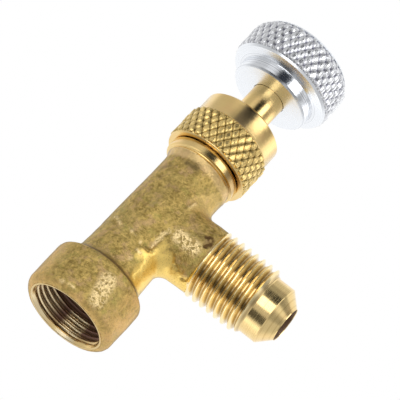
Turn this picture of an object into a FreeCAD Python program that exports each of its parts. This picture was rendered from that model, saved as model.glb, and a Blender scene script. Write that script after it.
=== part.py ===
import FreeCAD, Part
import os
from FreeCAD import Vector

# Refrigerant can tap: a brass tee valve that screws onto a can or a service
# port. Millimetres. The origin is the middle of the inlet's mouth face, +Z runs
# up the spindle to the knob and +X runs out along the outlet. The spindle is
# drawn fully out, which is how the tap is shut.

# Inlet collar, with a 1/2-20 thread inside that is drawn as its plain bore
collar_wall = 1.8
collar_height = 7.75
collar_rim_bevel = 0.25
collar_back_bevel = 0.45
shoulder_height = 1.6
inlet_bore_radius = 5.75
inlet_bevel = 0.2
inlet_groove_step = 0.3
inlet_depth = 7.05

# Barrel, slightly tapered as it left the mould
barrel_foot_radius = 5.35
barrel_top_radius = 4.95
tee_height = 20.35
barrel_above_tee = 9.2

# Turned ring on top of the barrel, and the spigot that the gland nut screws on
ring_step = 1.2
ring_cone_height = 1.2
ring_height = 1.35
ring_bevel = 0.12
spigot_radius = 4.95
spigot_height = 4.15
spigot_bevel = 0.3

# Side branch and its male flare, with a 7/16-20 thread drawn at its crests
branch_radius = 5.15
branch_length = 9.6
outlet_thread_radius = 5.555
outlet_thread_length = 9.0
outlet_thread_lead_in = 0.35
outlet_thread_bevel = 0.9
outlet_neck_step = 0.855
outlet_neck_length = 2.6
flare_nose_lip = 0.25
outlet_bore_radius = 2.55
web_reach = 2.2
web_width = 5.4

# Ways inside the body
passage_radius = 2.2
passage_length = 2.0
chamber_radius = 3.0

# Gasket in the bottom of the inlet
gasket_thickness = 1.2
gasket_hole_radius = 2.7
gasket_clearance = 0.1

# Gland: washer, stem seal and knurled nut
washer_thickness = 0.8
seal_section = 1.7
gland_recess_clearance = 0.1
nut_seat_gap = 0.15
nut_wall = 1.4
nut_lip_step = 0.35
nut_lip_height = 0.5
nut_knurl_step = 0.45
nut_step_height = 0.4
nut_band_height = 2.85
nut_top_bevel = 0.3
nut_roof = 2.5
nut_thread_clearance = 0.1

# Stem
stem_shank_radius = 2.65
stem_shown = 6.05
stem_thread_radius = 3.5
stem_thread_length = 5.6
stem_nose_radius = 1.75
stem_travel = 4.5
stem_backseat_gap = 0.4
stem_end_gap = 0.4
stem_hole_clearance = 0.1
stem_thread_clearance = 0.1
stem_edge_bevel = 0.3
seal_clearance = 0.05

# Pin that pushes the can's valve core
depressor_radius = 0.9
depressor_recess = 0.9
depressor_socket_depth = 3.0
depressor_clearance = 0.1
depressor_tip_bevel = 0.3

# Knob
knob_boss_radius = 6.35
knob_boss_bevel = 0.35
knob_boss_height = 2.1
knob_web_radius = 8.0
knob_web_rise = 0.25
knob_rim_bevel = 0.4
knob_radius = 8.4
knob_knurl_height = 4.7
knob_top_bevel = 1.1
knob_top_bevel_height = 1.4
knob_clearance = 0.05

# Drive end of the stem, two flats inside the knob, and the knob's screw
drive_radius = 2.0
drive_across_flats = 3.2
drive_length = 4.6
screw_radius = 1.5
screw_thread_length = 4.5
screw_head_radius = 2.75
screw_head_height = 1.8
screw_slot_width = 0.7
screw_slot_depth = 0.9
screw_head_bevel = 0.3
screw_clearance = 0.1
screw_floor = 1.2

# Radii worked out from the sizes above
collar_radius = inlet_bore_radius + collar_wall
inlet_groove_radius = inlet_bore_radius + inlet_groove_step
outlet_neck_radius = outlet_thread_radius - outlet_neck_step
flare_nose_radius = outlet_bore_radius + flare_nose_lip
stem_bore_radius = stem_thread_radius + stem_thread_clearance
stem_hole_radius = stem_shank_radius + stem_hole_clearance
nut_thread_radius = spigot_radius + nut_thread_clearance
nut_band_radius = nut_thread_radius + nut_wall
nut_knurl_radius = nut_band_radius + nut_knurl_step
nut_lip_radius = nut_knurl_radius - nut_lip_step
ring_radius = nut_knurl_radius - ring_step

# Heights along the spindle, worked out from the sizes above
barrel_foot_z = collar_height + shoulder_height
barrel_top_z = tee_height + barrel_above_tee
ring_foot_z = barrel_top_z + ring_cone_height
ring_top_z = ring_foot_z + ring_height
spigot_top_z = ring_top_z + spigot_height
washer_top_z = spigot_top_z + washer_thickness
seal_middle_z = washer_top_z + seal_clearance + seal_section / 2
gland_roof_z = washer_top_z + seal_section + 2 * seal_clearance
nut_foot_z = ring_top_z + nut_seat_gap
nut_top_z = gland_roof_z + nut_roof
nut_knurl_top_z = nut_top_z - nut_top_bevel - nut_band_height - nut_step_height
stem_thread_top_z = spigot_top_z - stem_backseat_gap
stem_thread_foot_z = stem_thread_top_z - stem_thread_length
stem_bore_foot_z = stem_thread_foot_z - stem_travel - stem_end_gap
chamber_foot_z = inlet_depth + passage_length
stem_nose_z = chamber_foot_z + stem_end_gap + stem_travel
gasket_face_z = inlet_depth - gasket_thickness
depressor_tip_z = gasket_face_z + depressor_recess
knob_face_z = nut_top_z + stem_shown
knob_web_z = knob_face_z + knob_boss_height
knob_knurl_z = knob_web_z + knob_web_rise + knob_rim_bevel
knob_bevel_z = knob_knurl_z + knob_knurl_height
knob_top_z = knob_bevel_z + knob_top_bevel_height
drive_top_z = knob_face_z + drive_length
screw_seat_z = drive_top_z + knob_clearance + screw_floor

# Places along the outlet
thread_start_x = branch_length
thread_end_x = branch_length + outlet_thread_length
neck_start_x = thread_end_x + outlet_thread_bevel
neck_end_x = neck_start_x + outlet_neck_length
nose_x = neck_end_x + outlet_neck_radius - flare_nose_radius
outlet_tip_x = nose_x + flare_nose_lip / 2

BARREL_AXIS = (Vector(0, 0, 0), Vector(0, 0, 1))
OUTLET_AXIS = (Vector(0, 0, tee_height), Vector(1, 0, 0))


def turned(outline):
    """Solid of revolution round Z from a closed outline of (radius, z) points."""
    points = [Vector(radius, 0, z) for radius, z in outline]
    wire = Part.makePolygon(points + points[:1])
    return Part.Face(wire).revolve(BARREL_AXIS[0], BARREL_AXIS[1], 360)


def turned_on_outlet(outline):
    """Solid of revolution round the outlet from a closed outline of (x, radius) points."""
    points = [Vector(x, 0, tee_height + radius) for x, radius in outline]
    wire = Part.makePolygon(points + points[:1])
    return Part.Face(wire).revolve(OUTLET_AXIS[0], OUTLET_AXIS[1], 360)


def rod(radius, foot, top):
    """Plain round solid on the spindle's axis."""
    return Part.makeCylinder(radius, top - foot, Vector(0, 0, foot), Vector(0, 0, 1))


def barrel_radius_at(z):
    share = (z - barrel_foot_z) / (barrel_top_z - barrel_foot_z)
    return barrel_foot_radius + share * (barrel_top_radius - barrel_foot_radius)


def corner_web(side):
    """Hollow-faced web in the corner between barrel and branch, above (1) or below (-1)."""
    wall_x = barrel_radius_at(tee_height)
    corner = Vector(wall_x, 0, tee_height + side * branch_radius)
    on_barrel = corner + Vector(0, 0, side * web_reach)
    on_branch = corner + Vector(web_reach, 0, 0)
    centre = corner + Vector(web_reach, 0, side * web_reach)
    half_way = centre + (corner - centre).normalize() * web_reach
    inner = Vector(wall_x / 2, 0, tee_height + side * branch_radius / 2)
    edges = [
        Part.Arc(on_barrel, half_way, on_branch).toShape(),
        Part.LineSegment(on_branch, Vector(on_branch.x, 0, inner.z)).toShape(),
        Part.LineSegment(Vector(on_branch.x, 0, inner.z), inner).toShape(),
        Part.LineSegment(inner, Vector(inner.x, 0, on_barrel.z)).toShape(),
        Part.LineSegment(Vector(inner.x, 0, on_barrel.z), on_barrel).toShape(),
    ]
    web = Part.Face(Part.Wire(edges)).extrude(Vector(0, web_width, 0))
    web.translate(Vector(0, -web_width / 2, 0))
    return web


def collar_and_barrel():
    outline = [
        (0, 0),
        (collar_radius - collar_rim_bevel, 0),
        (collar_radius, collar_rim_bevel),
        (collar_radius, collar_height - collar_back_bevel),
        (collar_radius - collar_back_bevel, collar_height),
        (barrel_foot_radius, barrel_foot_z),
        (barrel_top_radius, barrel_top_z),
        (ring_radius - ring_bevel, ring_foot_z),
        (ring_radius, ring_foot_z + ring_bevel),
        (ring_radius, ring_top_z - ring_bevel),
        (ring_radius - ring_bevel, ring_top_z),
        (spigot_radius, ring_top_z),
        (spigot_radius, spigot_top_z - spigot_bevel),
        (spigot_radius - spigot_bevel, spigot_top_z),
        (0, spigot_top_z),
    ]
    return turned(outline)


def branch_and_flare():
    root_radius = outlet_thread_radius - outlet_thread_lead_in
    outline = [
        (0, 0),
        (0, branch_radius),
        (thread_start_x, branch_radius),
        (thread_start_x, root_radius),
        (thread_start_x + outlet_thread_lead_in, outlet_thread_radius),
        (thread_end_x, outlet_thread_radius),
        (neck_start_x, outlet_neck_radius),
        (neck_end_x, outlet_neck_radius),
        (nose_x, flare_nose_radius),
        (outlet_tip_x, flare_nose_radius - flare_nose_lip / 2),
        (outlet_tip_x, 0),
    ]
    return turned_on_outlet(outline)


def valve_body():
    knuckle = Part.makeSphere(branch_radius, OUTLET_AXIS[0])
    body = collar_and_barrel().fuse([branch_and_flare(), knuckle, corner_web(1), corner_web(-1)])
    inlet = turned([
        (0, -inlet_bevel),
        (inlet_bore_radius + 2 * inlet_bevel, -inlet_bevel),
        (inlet_bore_radius, inlet_bevel),
        (inlet_bore_radius, gasket_face_z),
        (inlet_groove_radius, gasket_face_z),
        (inlet_groove_radius, inlet_depth),
        (0, inlet_depth),
    ])
    passage = rod(passage_radius, 0, chamber_foot_z + stem_end_gap)
    chamber = rod(chamber_radius, chamber_foot_z, stem_bore_foot_z + stem_end_gap)
    stem_bore = rod(stem_bore_radius, stem_bore_foot_z, spigot_top_z + 1)
    outlet_way = Part.makeCylinder(outlet_bore_radius, outlet_tip_x + 1, OUTLET_AXIS[0], OUTLET_AXIS[1])
    return body.cut([inlet, passage, chamber, stem_bore, outlet_way]).removeSplitter()


def inlet_gasket():
    outer_radius = inlet_groove_radius - gasket_clearance
    return turned([
        (gasket_hole_radius, gasket_face_z),
        (outer_radius, gasket_face_z),
        (outer_radius, inlet_depth),
        (gasket_hole_radius, inlet_depth),
    ])


def gland_washer():
    return turned([
        (stem_hole_radius, spigot_top_z),
        (spigot_radius, spigot_top_z),
        (spigot_radius, washer_top_z),
        (stem_hole_radius, washer_top_z),
    ])


def stem_seal():
    ring_middle_radius = stem_shank_radius + seal_clearance + seal_section / 2
    return Part.makeTorus(ring_middle_radius, seal_section / 2, Vector(0, 0, seal_middle_z))


def gland_nut():
    recess_radius = stem_shank_radius + seal_clearance + seal_section + gland_recess_clearance
    band_foot_z = nut_knurl_top_z + nut_step_height
    return turned([
        (nut_thread_radius, nut_foot_z),
        (nut_lip_radius, nut_foot_z),
        (nut_knurl_radius, nut_foot_z + nut_lip_height),
        (nut_knurl_radius, nut_knurl_top_z),
        (nut_band_radius, band_foot_z),
        (nut_band_radius, nut_top_z - nut_top_bevel),
        (nut_band_radius - nut_top_bevel, nut_top_z),
        (stem_hole_radius, nut_top_z),
        (stem_hole_radius, gland_roof_z),
        (recess_radius, gland_roof_z),
        (recess_radius, washer_top_z),
        (nut_thread_radius, washer_top_z),
    ])


def drive_end(radius, across_flats, foot, top):
    """Round end with two flats."""
    flats = Part.makeBox(2 * radius, across_flats, top - foot, Vector(-radius, -across_flats / 2, foot))
    return rod(radius, foot, top).common(flats)


def stem():
    outline = [
        (0, stem_nose_z),
        (stem_nose_radius, stem_nose_z),
        (stem_nose_radius, stem_thread_foot_z),
        (stem_thread_radius - stem_edge_bevel, stem_thread_foot_z),
        (stem_thread_radius, stem_thread_foot_z + stem_edge_bevel),
        (stem_thread_radius, stem_thread_top_z - stem_edge_bevel),
        (stem_thread_radius - stem_edge_bevel, stem_thread_top_z),
        (stem_shank_radius, stem_thread_top_z),
        (stem_shank_radius, knob_face_z),
        (0, knob_face_z),
    ]
    shaft = turned(outline)
    drive = drive_end(drive_radius, drive_across_flats, knob_face_z, drive_top_z)
    socket = rod(depressor_radius + depressor_clearance, stem_nose_z, stem_nose_z + depressor_socket_depth)
    screw_hole_foot = screw_seat_z - screw_thread_length - screw_clearance
    screw_hole = rod(screw_radius + screw_clearance, screw_hole_foot, drive_top_z)
    return shaft.fuse(drive).cut([socket, screw_hole]).removeSplitter()


def core_depressor():
    top = stem_nose_z + depressor_socket_depth - depressor_clearance
    return turned([
        (0, depressor_tip_z),
        (depressor_radius - depressor_tip_bevel, depressor_tip_z),
        (depressor_radius, depressor_tip_z + depressor_tip_bevel),
        (depressor_radius, top),
        (0, top),
    ])


def knob():
    outline = [
        (0, knob_face_z),
        (knob_boss_radius - knob_boss_bevel, knob_face_z),
        (knob_boss_radius, knob_face_z + knob_boss_bevel),
        (knob_boss_radius, knob_web_z),
        (knob_web_radius, knob_web_z + knob_web_rise),
        (knob_radius, knob_knurl_z),
        (knob_radius, knob_bevel_z),
        (knob_radius - knob_top_bevel, knob_top_z),
        (0, knob_top_z),
    ]
    drive = drive_end(
        drive_radius + knob_clearance,
        drive_across_flats + 2 * knob_clearance,
        knob_face_z,
        drive_top_z + knob_clearance,
    )
    screw_way = rod(screw_radius + screw_clearance, knob_face_z, screw_seat_z)
    head_way = rod(screw_head_radius + screw_clearance, screw_seat_z, knob_top_z)
    return turned(outline).cut([drive, screw_way, head_way]).removeSplitter()


def knob_screw():
    head_top = screw_seat_z + screw_head_height
    screw = turned([
        (0, screw_seat_z - screw_thread_length),
        (screw_radius, screw_seat_z - screw_thread_length),
        (screw_radius, screw_seat_z),
        (screw_head_radius, screw_seat_z),
        (screw_head_radius, head_top - screw_head_bevel),
        (screw_head_radius - screw_head_bevel, head_top),
        (0, head_top),
    ])
    slot = Part.makeBox(
        2 * screw_head_radius,
        screw_slot_width,
        screw_slot_depth,
        Vector(-screw_head_radius, -screw_slot_width / 2, head_top - screw_slot_depth),
    )
    return screw.cut(slot)


PIECES = {
    "valve_body": valve_body,
    "inlet_gasket": inlet_gasket,
    "core_depressor": core_depressor,
    "stem": stem,
    "gland_washer": gland_washer,
    "stem_seal": stem_seal,
    "gland_nut": gland_nut,
    "knob": knob,
    "knob_screw": knob_screw,
}

os.makedirs("parts", exist_ok=True)
for name, build in PIECES.items():
    shape = build()
    shape.exportStep(os.path.join("parts", name + ".step"))
    state = "valid" if shape.isValid() else "INVALID"
    print(name, state, "solids", len(shape.Solids), "volume", round(shape.Volume, 1))
print("knob face", round(knob_face_z, 2), "knob top", round(knob_top_z, 2), "outlet tip", round(outlet_tip_x, 2))
print("nut foot", round(nut_foot_z, 2), "nut knurl top", round(nut_knurl_top_z, 2), "nut top", round(nut_top_z, 2))
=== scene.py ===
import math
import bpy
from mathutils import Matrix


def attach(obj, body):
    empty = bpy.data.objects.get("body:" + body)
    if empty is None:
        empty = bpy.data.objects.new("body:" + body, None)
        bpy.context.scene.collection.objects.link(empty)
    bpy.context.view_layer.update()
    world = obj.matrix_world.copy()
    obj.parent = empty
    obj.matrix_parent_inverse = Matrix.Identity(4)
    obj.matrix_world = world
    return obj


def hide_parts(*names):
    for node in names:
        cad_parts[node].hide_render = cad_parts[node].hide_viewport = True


bl_info = {
    "name": "Refrigerant Can Tap",
    "version": (1, 0, 0),
    "blender": (4, 5, 0),
    "location": "View3D > Sidebar > Can Tap",
    "description": "Builds a brass refrigerant can tap with its knurled nut, stem and aluminium knob",
    "category": "Object",
}

from itertools import product

import bmesh
import bpy
import numpy as np
from mathutils import Matrix, Vector

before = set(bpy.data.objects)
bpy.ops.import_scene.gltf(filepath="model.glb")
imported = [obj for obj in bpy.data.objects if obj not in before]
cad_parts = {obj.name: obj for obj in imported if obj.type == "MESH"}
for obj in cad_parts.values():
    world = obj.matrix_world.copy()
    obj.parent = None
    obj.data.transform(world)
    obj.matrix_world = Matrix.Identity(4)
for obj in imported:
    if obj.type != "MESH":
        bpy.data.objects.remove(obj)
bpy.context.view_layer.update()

MM = 0.001
TURN = 2 * math.pi

# Places along the spindle and the outlet, in millimetres, as the CAD model has them
TEE = 20.35
RING_FOOT = 30.75
RING_TOP = 32.1
SPIGOT_TOP = 36.25
NUT_FOOT = 32.25
NUT_TOP = 41.35
KNOB_FACE = 47.4
KNOB_TOP = 56.25
DRIVE_TOP = 52.0
SCREW_SEAT = 53.25
THREAD_START = 9.6
NECK_START = 19.5
NECK_END = 22.1
NOSE = 24.0
OUTLET_TIP = 24.125

# Ends of the cast skin, inside the outlet's fitting, under the ring and at the mouth
BRANCH_END = 9.9
CASTING_TOP = 30.6
CASTING_FOOT = 0.04

# Hollow of the casting, which clears the fittings inside it
LIP_RADIUS, LIP_TOP = 6.3, 0.9
MOUTH_RADIUS, MOUTH_TOP = 6.6, 6.45
GAS_WAY_RADIUS, GAS_WAY_TOP = 2.4, 9.55
CHAMBER_RADIUS, CHAMBER_FOOT, CHAMBER_TOP = 3.0, 9.05, 25.55
BORE_RADIUS, BORE_FOOT = 4.2, 25.35
OUTLET_RADIUS, OUTLET_FOOT = 2.75, 2.0
SOCKET_RADIUS, SOCKET_FOOT = 4.9, 9.2


def length(name, description, default):
    """Length property in metres from a default in millimetres."""
    return bpy.props.FloatProperty(
        name=name, description=description, default=default * MM, min=0.0, precision=5,
        unit="LENGTH", subtype="DISTANCE",
    )


def count(name, description, default):
    return bpy.props.IntProperty(name=name, description=description, default=default, min=1)


def colour(name, description, default):
    return bpy.props.FloatVectorProperty(
        name=name, description=description, default=default, size=3, min=0.0, max=1.0, subtype="COLOR"
    )


class BodySizes(bpy.types.PropertyGroup):
    branch_radius: length("Branch Radius", "Radius of the cast side branch", 5.27)
    corner_radius: length("Corner Radius", "Fillet where the branch grows out of the barrel", 1.9)
    skin_step: length("Skin Step", "Spacing of the casting's mesh", 0.18)
    lump_height: length("Lump Height", "Height of the sand-cast unevenness", 0.05)
    thread_pitch: length("Outlet Thread Pitch", "Pitch of the outlet's thread", 1.27)
    thread_depth: length("Outlet Thread Depth", "Depth of the outlet's thread", 0.72)
    inlet_pitch: length("Inlet Thread Pitch", "Pitch of the inlet's thread", 0.92)
    inlet_depth: length("Inlet Thread Depth", "Depth of the inlet's thread", 0.52)
    inlet_minor_radius: length("Inlet Minor Radius", "Crest radius of the inlet thread", 5.75)
    outlet_major_radius: length("Outlet Major Radius", "Crest radius of the outlet thread", 5.555)


class NutSizes(bpy.types.PropertyGroup):
    knurl_radius: length("Knurl Radius", "Radius over the nut's knurl points", 6.9)
    knurl_depth: length("Knurl Depth", "Depth of the nut's knurl", 0.32)
    knurl_count: count("Knurl Count", "Knurl points round the nut", 32)
    knurl_row: length("Knurl Row", "Height of two knurl rows on the nut", 2.0)


class KnobSizes(bpy.types.PropertyGroup):
    knurl_radius: length("Knurl Radius", "Radius over the knob's knurl points", 8.4)
    knurl_depth: length("Knurl Depth", "Depth of the knob's knurl", 0.32)
    knurl_count: count("Knurl Count", "Knurl points round the knob", 38)
    knurl_row: length("Knurl Row", "Height of two knurl rows on the knob", 2.0)
    boss_radius: length("Boss Radius", "Radius of the knob's boss", 6.35)


class StemSizes(bpy.types.PropertyGroup):
    shank_radius: length("Shank Radius", "Radius of the stem where it leaves the nut", 2.65)
    thread_radius: length("Thread Radius", "Crest radius of the stem's thread", 3.5)
    thread_pitch: length("Thread Pitch", "Rise of the stem for one turn of the knob", 1.0)


class Finishes(bpy.types.PropertyGroup):
    cast_light: colour("Cast Brass Light", "Bright parts of the cast skin", (0.72, 0.52, 0.17))
    cast_dark: colour("Cast Brass Dark", "Dull parts of the cast skin", (0.31, 0.215, 0.055))
    trimmed: colour("Trimmed Brass", "Cast skin where the mould's flash was trimmed", (1.0, 0.72, 0.21))
    turned: colour("Turned Brass", "Freshly turned brass", (0.85, 0.62, 0.26))
    turned_warm: colour("Turned Brass Warm", "Pinkish streaks on turned brass", (0.84, 0.55, 0.25))
    outlet: colour("Outlet Brass", "Paler turned brass of the outlet", (0.90, 0.68, 0.31))
    thread: colour("Thread Brass", "Freshly cut thread of the outlet", (0.98, 0.80, 0.44))
    # Painted shade inside the inlet's bore
    bore: colour("Bore", "Dull brass inside the inlet and the outlet", (0.25, 0.135, 0.10))
    knurl: colour("Knurled Brass", "Points of the nut's knurl", (0.82, 0.60, 0.23))
    # Painted shade in the nut knurl's valleys, and also its dirt
    valley: colour("Knurl Valley", "Dull brass in the knurl's valleys", (0.17, 0.115, 0.03))
    aluminium: colour("Aluminium", "Turned aluminium of the knob", (0.88, 0.905, 0.94))
    aluminium_knurl: colour("Knurled Aluminium", "Points of the knob's knurl", (0.80, 0.81, 0.83))
    # Painted shade in the knob knurl's valleys, and also its dirt
    aluminium_valley: colour("Aluminium Valley", "Knurl valleys on the knob", (0.22, 0.22, 0.28))
    rubber: colour("Rubber", "Inlet gasket and stem seal", (0.018, 0.018, 0.02))
    steel: colour("Steel", "Knob screw", (0.62, 0.61, 0.59))


class StageSizes(bpy.types.PropertyGroup):
    floor_width: length("Floor Width", "Side of the square floor", 2400.0)
    floor_colour: colour("Floor Colour", "Pale floor", (0.9, 0.9, 0.9))
    lamp_distance: length("Lamp Distance", "Distance of the soft boxes from the tap", 450.0)


# Mesh making, in millimetres

# Places on one turn of a thread, where 0 is its crest
THREAD_PHASES = [-0.5, -0.43, -0.39, -0.28, -0.18, -0.09, -0.05, 0.0, 0.05, 0.09, 0.18, 0.28, 0.39, 0.43]

# Edges shorter than this are dissolved
SHORTEST_EDGE = 0.0002


def eased(value):
    value = np.clip(value, 0.0, 1.0)
    return value * value * (3 - 2 * value)


def arc_corners(outline, radii):
    """Outline with each corner that has a radius in radii, by its index, rounded with five points."""
    points = []
    for index, point in enumerate(outline):
        if index not in radii:
            points.append(point)
            continue
        radius = radii[index]
        here = Vector(point)
        before = (Vector(outline[index - 1]) - here).normalized()
        after = (Vector(outline[(index + 1) % len(outline)]) - here).normalized()
        half = math.acos(before.dot(after)) / 2
        reach = radius / math.tan(half)
        inward = (before + after).normalized()
        centre = here + inward * (radius / math.sin(half))
        first, last = here + before * reach, here + after * reach
        middle = here + inward * (radius / math.sin(half) - radius)
        for near in (first, first.lerp(middle, 0.5), middle, middle.lerp(last, 0.5), last):
            points.append((centre + (near - centre).normalized() * radius)[:])
    return points


def revolved(outline, segments=96, closed=True):
    """Points and faces of an outline of (radius, height) turned round Z, joined at its ends if closed."""
    angles = np.arange(segments) * TURN / segments
    points, rows = [], []
    for radius, height in outline:
        if radius < 1e-6:
            rows.append([len(points)] * segments)
            points.append((0.0, 0.0, height))
            continue
        rows.append(list(range(len(points), len(points) + segments)))
        points.extend(zip(radius * np.cos(angles), radius * np.sin(angles), [height] * segments))
    faces = []
    if closed:
        rows.append(rows[0])
    for row, above in zip(rows, rows[1:]):
        for i in range(segments):
            j = (i + 1) % segments
            face = list(dict.fromkeys((row[i], row[j], above[j], above[i])))
            if len(face) > 2:
                faces.append(face)
    return np.array(points), faces


def thread_sheet(radius_at, pitch, foot, top, segments, start):
    """Helical sheet from foot to top with a crest at height start. radius_at(phase, height) is its radius."""
    first = math.floor((foot - start) / pitch) - 2
    last = math.ceil((top - start) / pitch) + 1
    turns = np.repeat(np.arange(first, last), len(THREAD_PHASES))
    rises = start + (turns + np.tile(THREAD_PHASES, last - first)) * pitch
    angles = np.arange(segments + 1) * TURN / segments
    heights = np.clip(rises[None, :] + pitch * angles[:, None] / TURN, foot, top)
    phase = ((heights - start) / pitch - angles[:, None] / TURN + 0.5) % 1.0 - 0.5
    radius = radius_at(phase, heights)
    points = np.stack([radius * np.cos(angles)[:, None], radius * np.sin(angles)[:, None], heights], axis=2)
    rows = points.shape[1]
    faces = []
    for i, j in product(range(segments), range(rows - 1)):
        if heights[i, j] == heights[i, j + 1] and heights[i + 1, j] == heights[i + 1, j + 1]:
            continue
        a = i * rows + j
        faces.append([a, a + rows, a + rows + 1, a + 1])
    return points.reshape(-1, 3), faces


def threaded(radius_at, pitch, foot, top, rest, segments=96, start=0.0):
    """Closed solid round Z of a thread and the rest of its outline, which joins on at foot and top."""
    sheet, sheet_faces = thread_sheet(radius_at, pitch, foot, top, segments, start)
    points, faces = revolved(rest, segments, closed=False)
    faces = [[v + len(sheet) for v in face] for face in faces]
    return np.concatenate([sheet, points]), sheet_faces + faces


def thread_form(phase, depth, crest, root):
    """Depth below the crest of a sharp V thread with rounded crest and root, by phase from -0.5 to 0.5."""
    ramp = np.clip((np.abs(phase) - crest) / (0.5 - root - crest), 0.0, 1.0)
    return depth * (0.9 * ramp + 0.1 * ramp * ramp * (3 - 2 * ramp))


class Noise:
    """Smooth noise between -1 and 1 from a seeded lattice that repeats after so many cells."""

    CELLS = 32

    def __init__(self, seed):
        self.table = np.random.default_rng(seed).uniform(-1, 1, (self.CELLS,) * 3)

    def at(self, x, y, z, size):
        places = [np.asarray(v) / size for v in (x, y, z)]
        cells = [np.floor(v).astype(int) for v in places]
        shares = [eased(v - c) for v, c in zip(places, cells)]
        total = 0.0
        for corner in product((0, 1), repeat=3):
            weight = 1.0
            for step, share in zip(corner, shares):
                weight = weight * (share if step else 1 - share)
            index = tuple((c + step) % self.CELLS for c, step in zip(cells, corner))
            total = total + self.table[index] * weight
        return total


def skin(field, low, high, step):
    """Closed quad mesh on the zero surface of field(x, y, z), which is negative inside."""
    axes = [np.arange(start, end + step, step) for start, end in zip(low, high)]
    value = field(*np.meshgrid(*axes, indexing="ij"))
    cells = tuple(n - 1 for n in value.shape)
    total = np.zeros(cells + (3,))
    hits = np.zeros(cells)
    crossings = []
    for axis in range(3):
        before = np.take(value, range(value.shape[axis] - 1), axis)
        after = np.take(value, range(1, value.shape[axis]), axis)
        crossed = (before < 0) != (after < 0)
        part = np.where(crossed, before / np.where(crossed, before - after, 1), 0)
        crossings.append((crossed, before < 0))
        u, v = (axis + 1) % 3, (axis + 2) % 3
        for du, dv in product((0, 1), repeat=2):
            window = [slice(None)] * 3
            window[u] = slice(du, cells[u] + du)
            window[v] = slice(dv, cells[v] + dv)
            seen = crossed[tuple(window)]
            hits += seen
            total[..., axis] += part[tuple(window)]
            total[..., u] += du * seen
            total[..., v] += dv * seen
    used = hits > 0
    ids = np.full(cells, -1)
    ids[used] = np.arange(used.sum())
    points = np.array(low) + (np.argwhere(used) + total[used] / hits[used][:, None]) * step
    faces = []
    for axis, (crossed, inside) in enumerate(crossings):
        u, v = (axis + 1) % 3, (axis + 2) % 3
        place = np.argwhere(crossed)
        for side in (u, v):
            place = place[(place[:, side] > 0) & (place[:, side] < cells[side])]
        quads = []
        for du, dv in ((-1, -1), (0, -1), (0, 0), (-1, 0)):
            cell = place.copy()
            cell[:, u] += du
            cell[:, v] += dv
            quads.append(ids[tuple(cell.T)])
        quads = np.stack(quads, axis=1)
        outward = inside[tuple(place.T)]
        faces.extend(quads[outward].tolist())
        faces.extend(quads[~outward][:, ::-1].tolist())
    return settled(field, points), faces


def settled(field, points):
    """Points moved onto the zero surface of field along its slope."""
    rounds, nudge, flattest, farthest = 3, 0.01, 0.25, 0.15
    for _ in range(rounds):
        here = field(*points.T)
        slope = np.stack([field(*(points + nudge * way).T) - here for way in np.eye(3)], axis=1) / nudge
        size = np.maximum((slope**2).sum(axis=1), flattest)
        points = points - slope * np.clip(here / size, -farthest, farthest)[:, None]
    return points


def piece(name, points, faces, coat, smooth_angle=32, merge=0.0005):
    """Mesh object at the origin from points in millimetres, with doubles merged and faces turned out."""
    mesh = bpy.data.meshes.new(name)
    mesh.from_pydata((np.asarray(points) * MM).tolist(), [], faces)
    work = bmesh.new()
    work.from_mesh(mesh)
    bmesh.ops.remove_doubles(work, verts=work.verts, dist=merge * MM)
    bmesh.ops.dissolve_degenerate(work, edges=work.edges, dist=SHORTEST_EDGE * MM)
    bmesh.ops.recalc_face_normals(work, faces=work.faces)
    work.to_mesh(mesh)
    work.free()
    mesh.shade_smooth()
    mesh.set_sharp_from_angle(angle=math.radians(smooth_angle))
    mesh.materials.append(finish(coat))
    made = bpy.data.objects.new(name, mesh)
    bpy.context.scene.collection.objects.link(made)
    return made


def keep_values(made, name, values):
    """Keep a number on each vertex of the mesh, for its material."""
    layer = made.data.attributes.new(name, "FLOAT", "POINT")
    layer.data.foreach_set("value", values.astype(np.float32))


# Node wiring


class Wire:
    """A node's output, which + - * and / join to Math nodes."""

    def __init__(self, wiring, socket):
        self.wiring = wiring
        self.socket = socket

    def __add__(self, other):
        return self.wiring.calc("ADD", self, other)

    def __sub__(self, other):
        return self.wiring.calc("SUBTRACT", self, other)

    def __rsub__(self, other):
        return self.wiring.calc("SUBTRACT", other, self)

    def __mul__(self, other):
        return self.wiring.calc("MULTIPLY", self, other)

    def __truediv__(self, other):
        return self.wiring.calc("DIVIDE", self, other)


class Wiring:
    """Short calls for adding nodes to a tree and joining them."""

    def __init__(self, tree):
        self.tree = tree

    def node(self, kind, inputs=None, **settings):
        made = self.tree.nodes.new(kind)
        for key, value in settings.items():
            setattr(made, key, value)
        for key, value in (inputs or {}).items():
            self.put(value, made.inputs[key])
        return made

    def wire(self, kind, inputs=None, output=0, **settings):
        return Wire(self, self.node(kind, inputs, **settings).outputs[output])

    def calc(self, operation, *values):
        return self.wire("ShaderNodeMath", dict(enumerate(values)), operation=operation)

    def parts(self, place):
        """The three numbers of a place."""
        return [Wire(self, socket) for socket in self.node("ShaderNodeSeparateXYZ", {0: place}).outputs]

    def put(self, value, target):
        """Join a wire or a node's first output to the socket, or set its plain value."""
        if isinstance(value, bpy.types.Node):
            self.tree.links.new(value.outputs[0], target)
        elif isinstance(value, Wire):
            self.tree.links.new(value.socket, target)
        else:
            target.default_value = (*value, 1) if target.type == "RGBA" and len(value) == 3 else value


# Knurls

# Gap in metres within which the points are welded together, how far the sides of a point bulge, and a
# distance from its middle that is safe to divide by
WELD = 0.00002
BULGE = 0.3
LEAST = 0.001

KNURL_INPUTS = (
    ("Radius", "Float", 0.007),
    ("Foot", "Float", 0.0),
    ("Depth", "Float", 0.0003),
    ("Points Around", "Int", 32),
    ("Row Pair Height", "Float", 0.002),
    ("Row Pairs", "Int", 5),
    ("Flat Top", "Float", 0.4),
    ("Groove Saddle", "Float", 0.4),
    ("Wobble", "Float", 0.1),
    ("Seed", "Int", 3),
    ("Finish", "Material", None),
)


def stored(w, mesh, name, value, domain="POINT"):
    """Mesh with a named number on each of its points or instances."""
    inputs = {"Geometry": mesh, "Name": name, "Value": value}
    return w.node("GeometryNodeStoreNamedAttribute", inputs, data_type="FLOAT", domain=domain)


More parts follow.
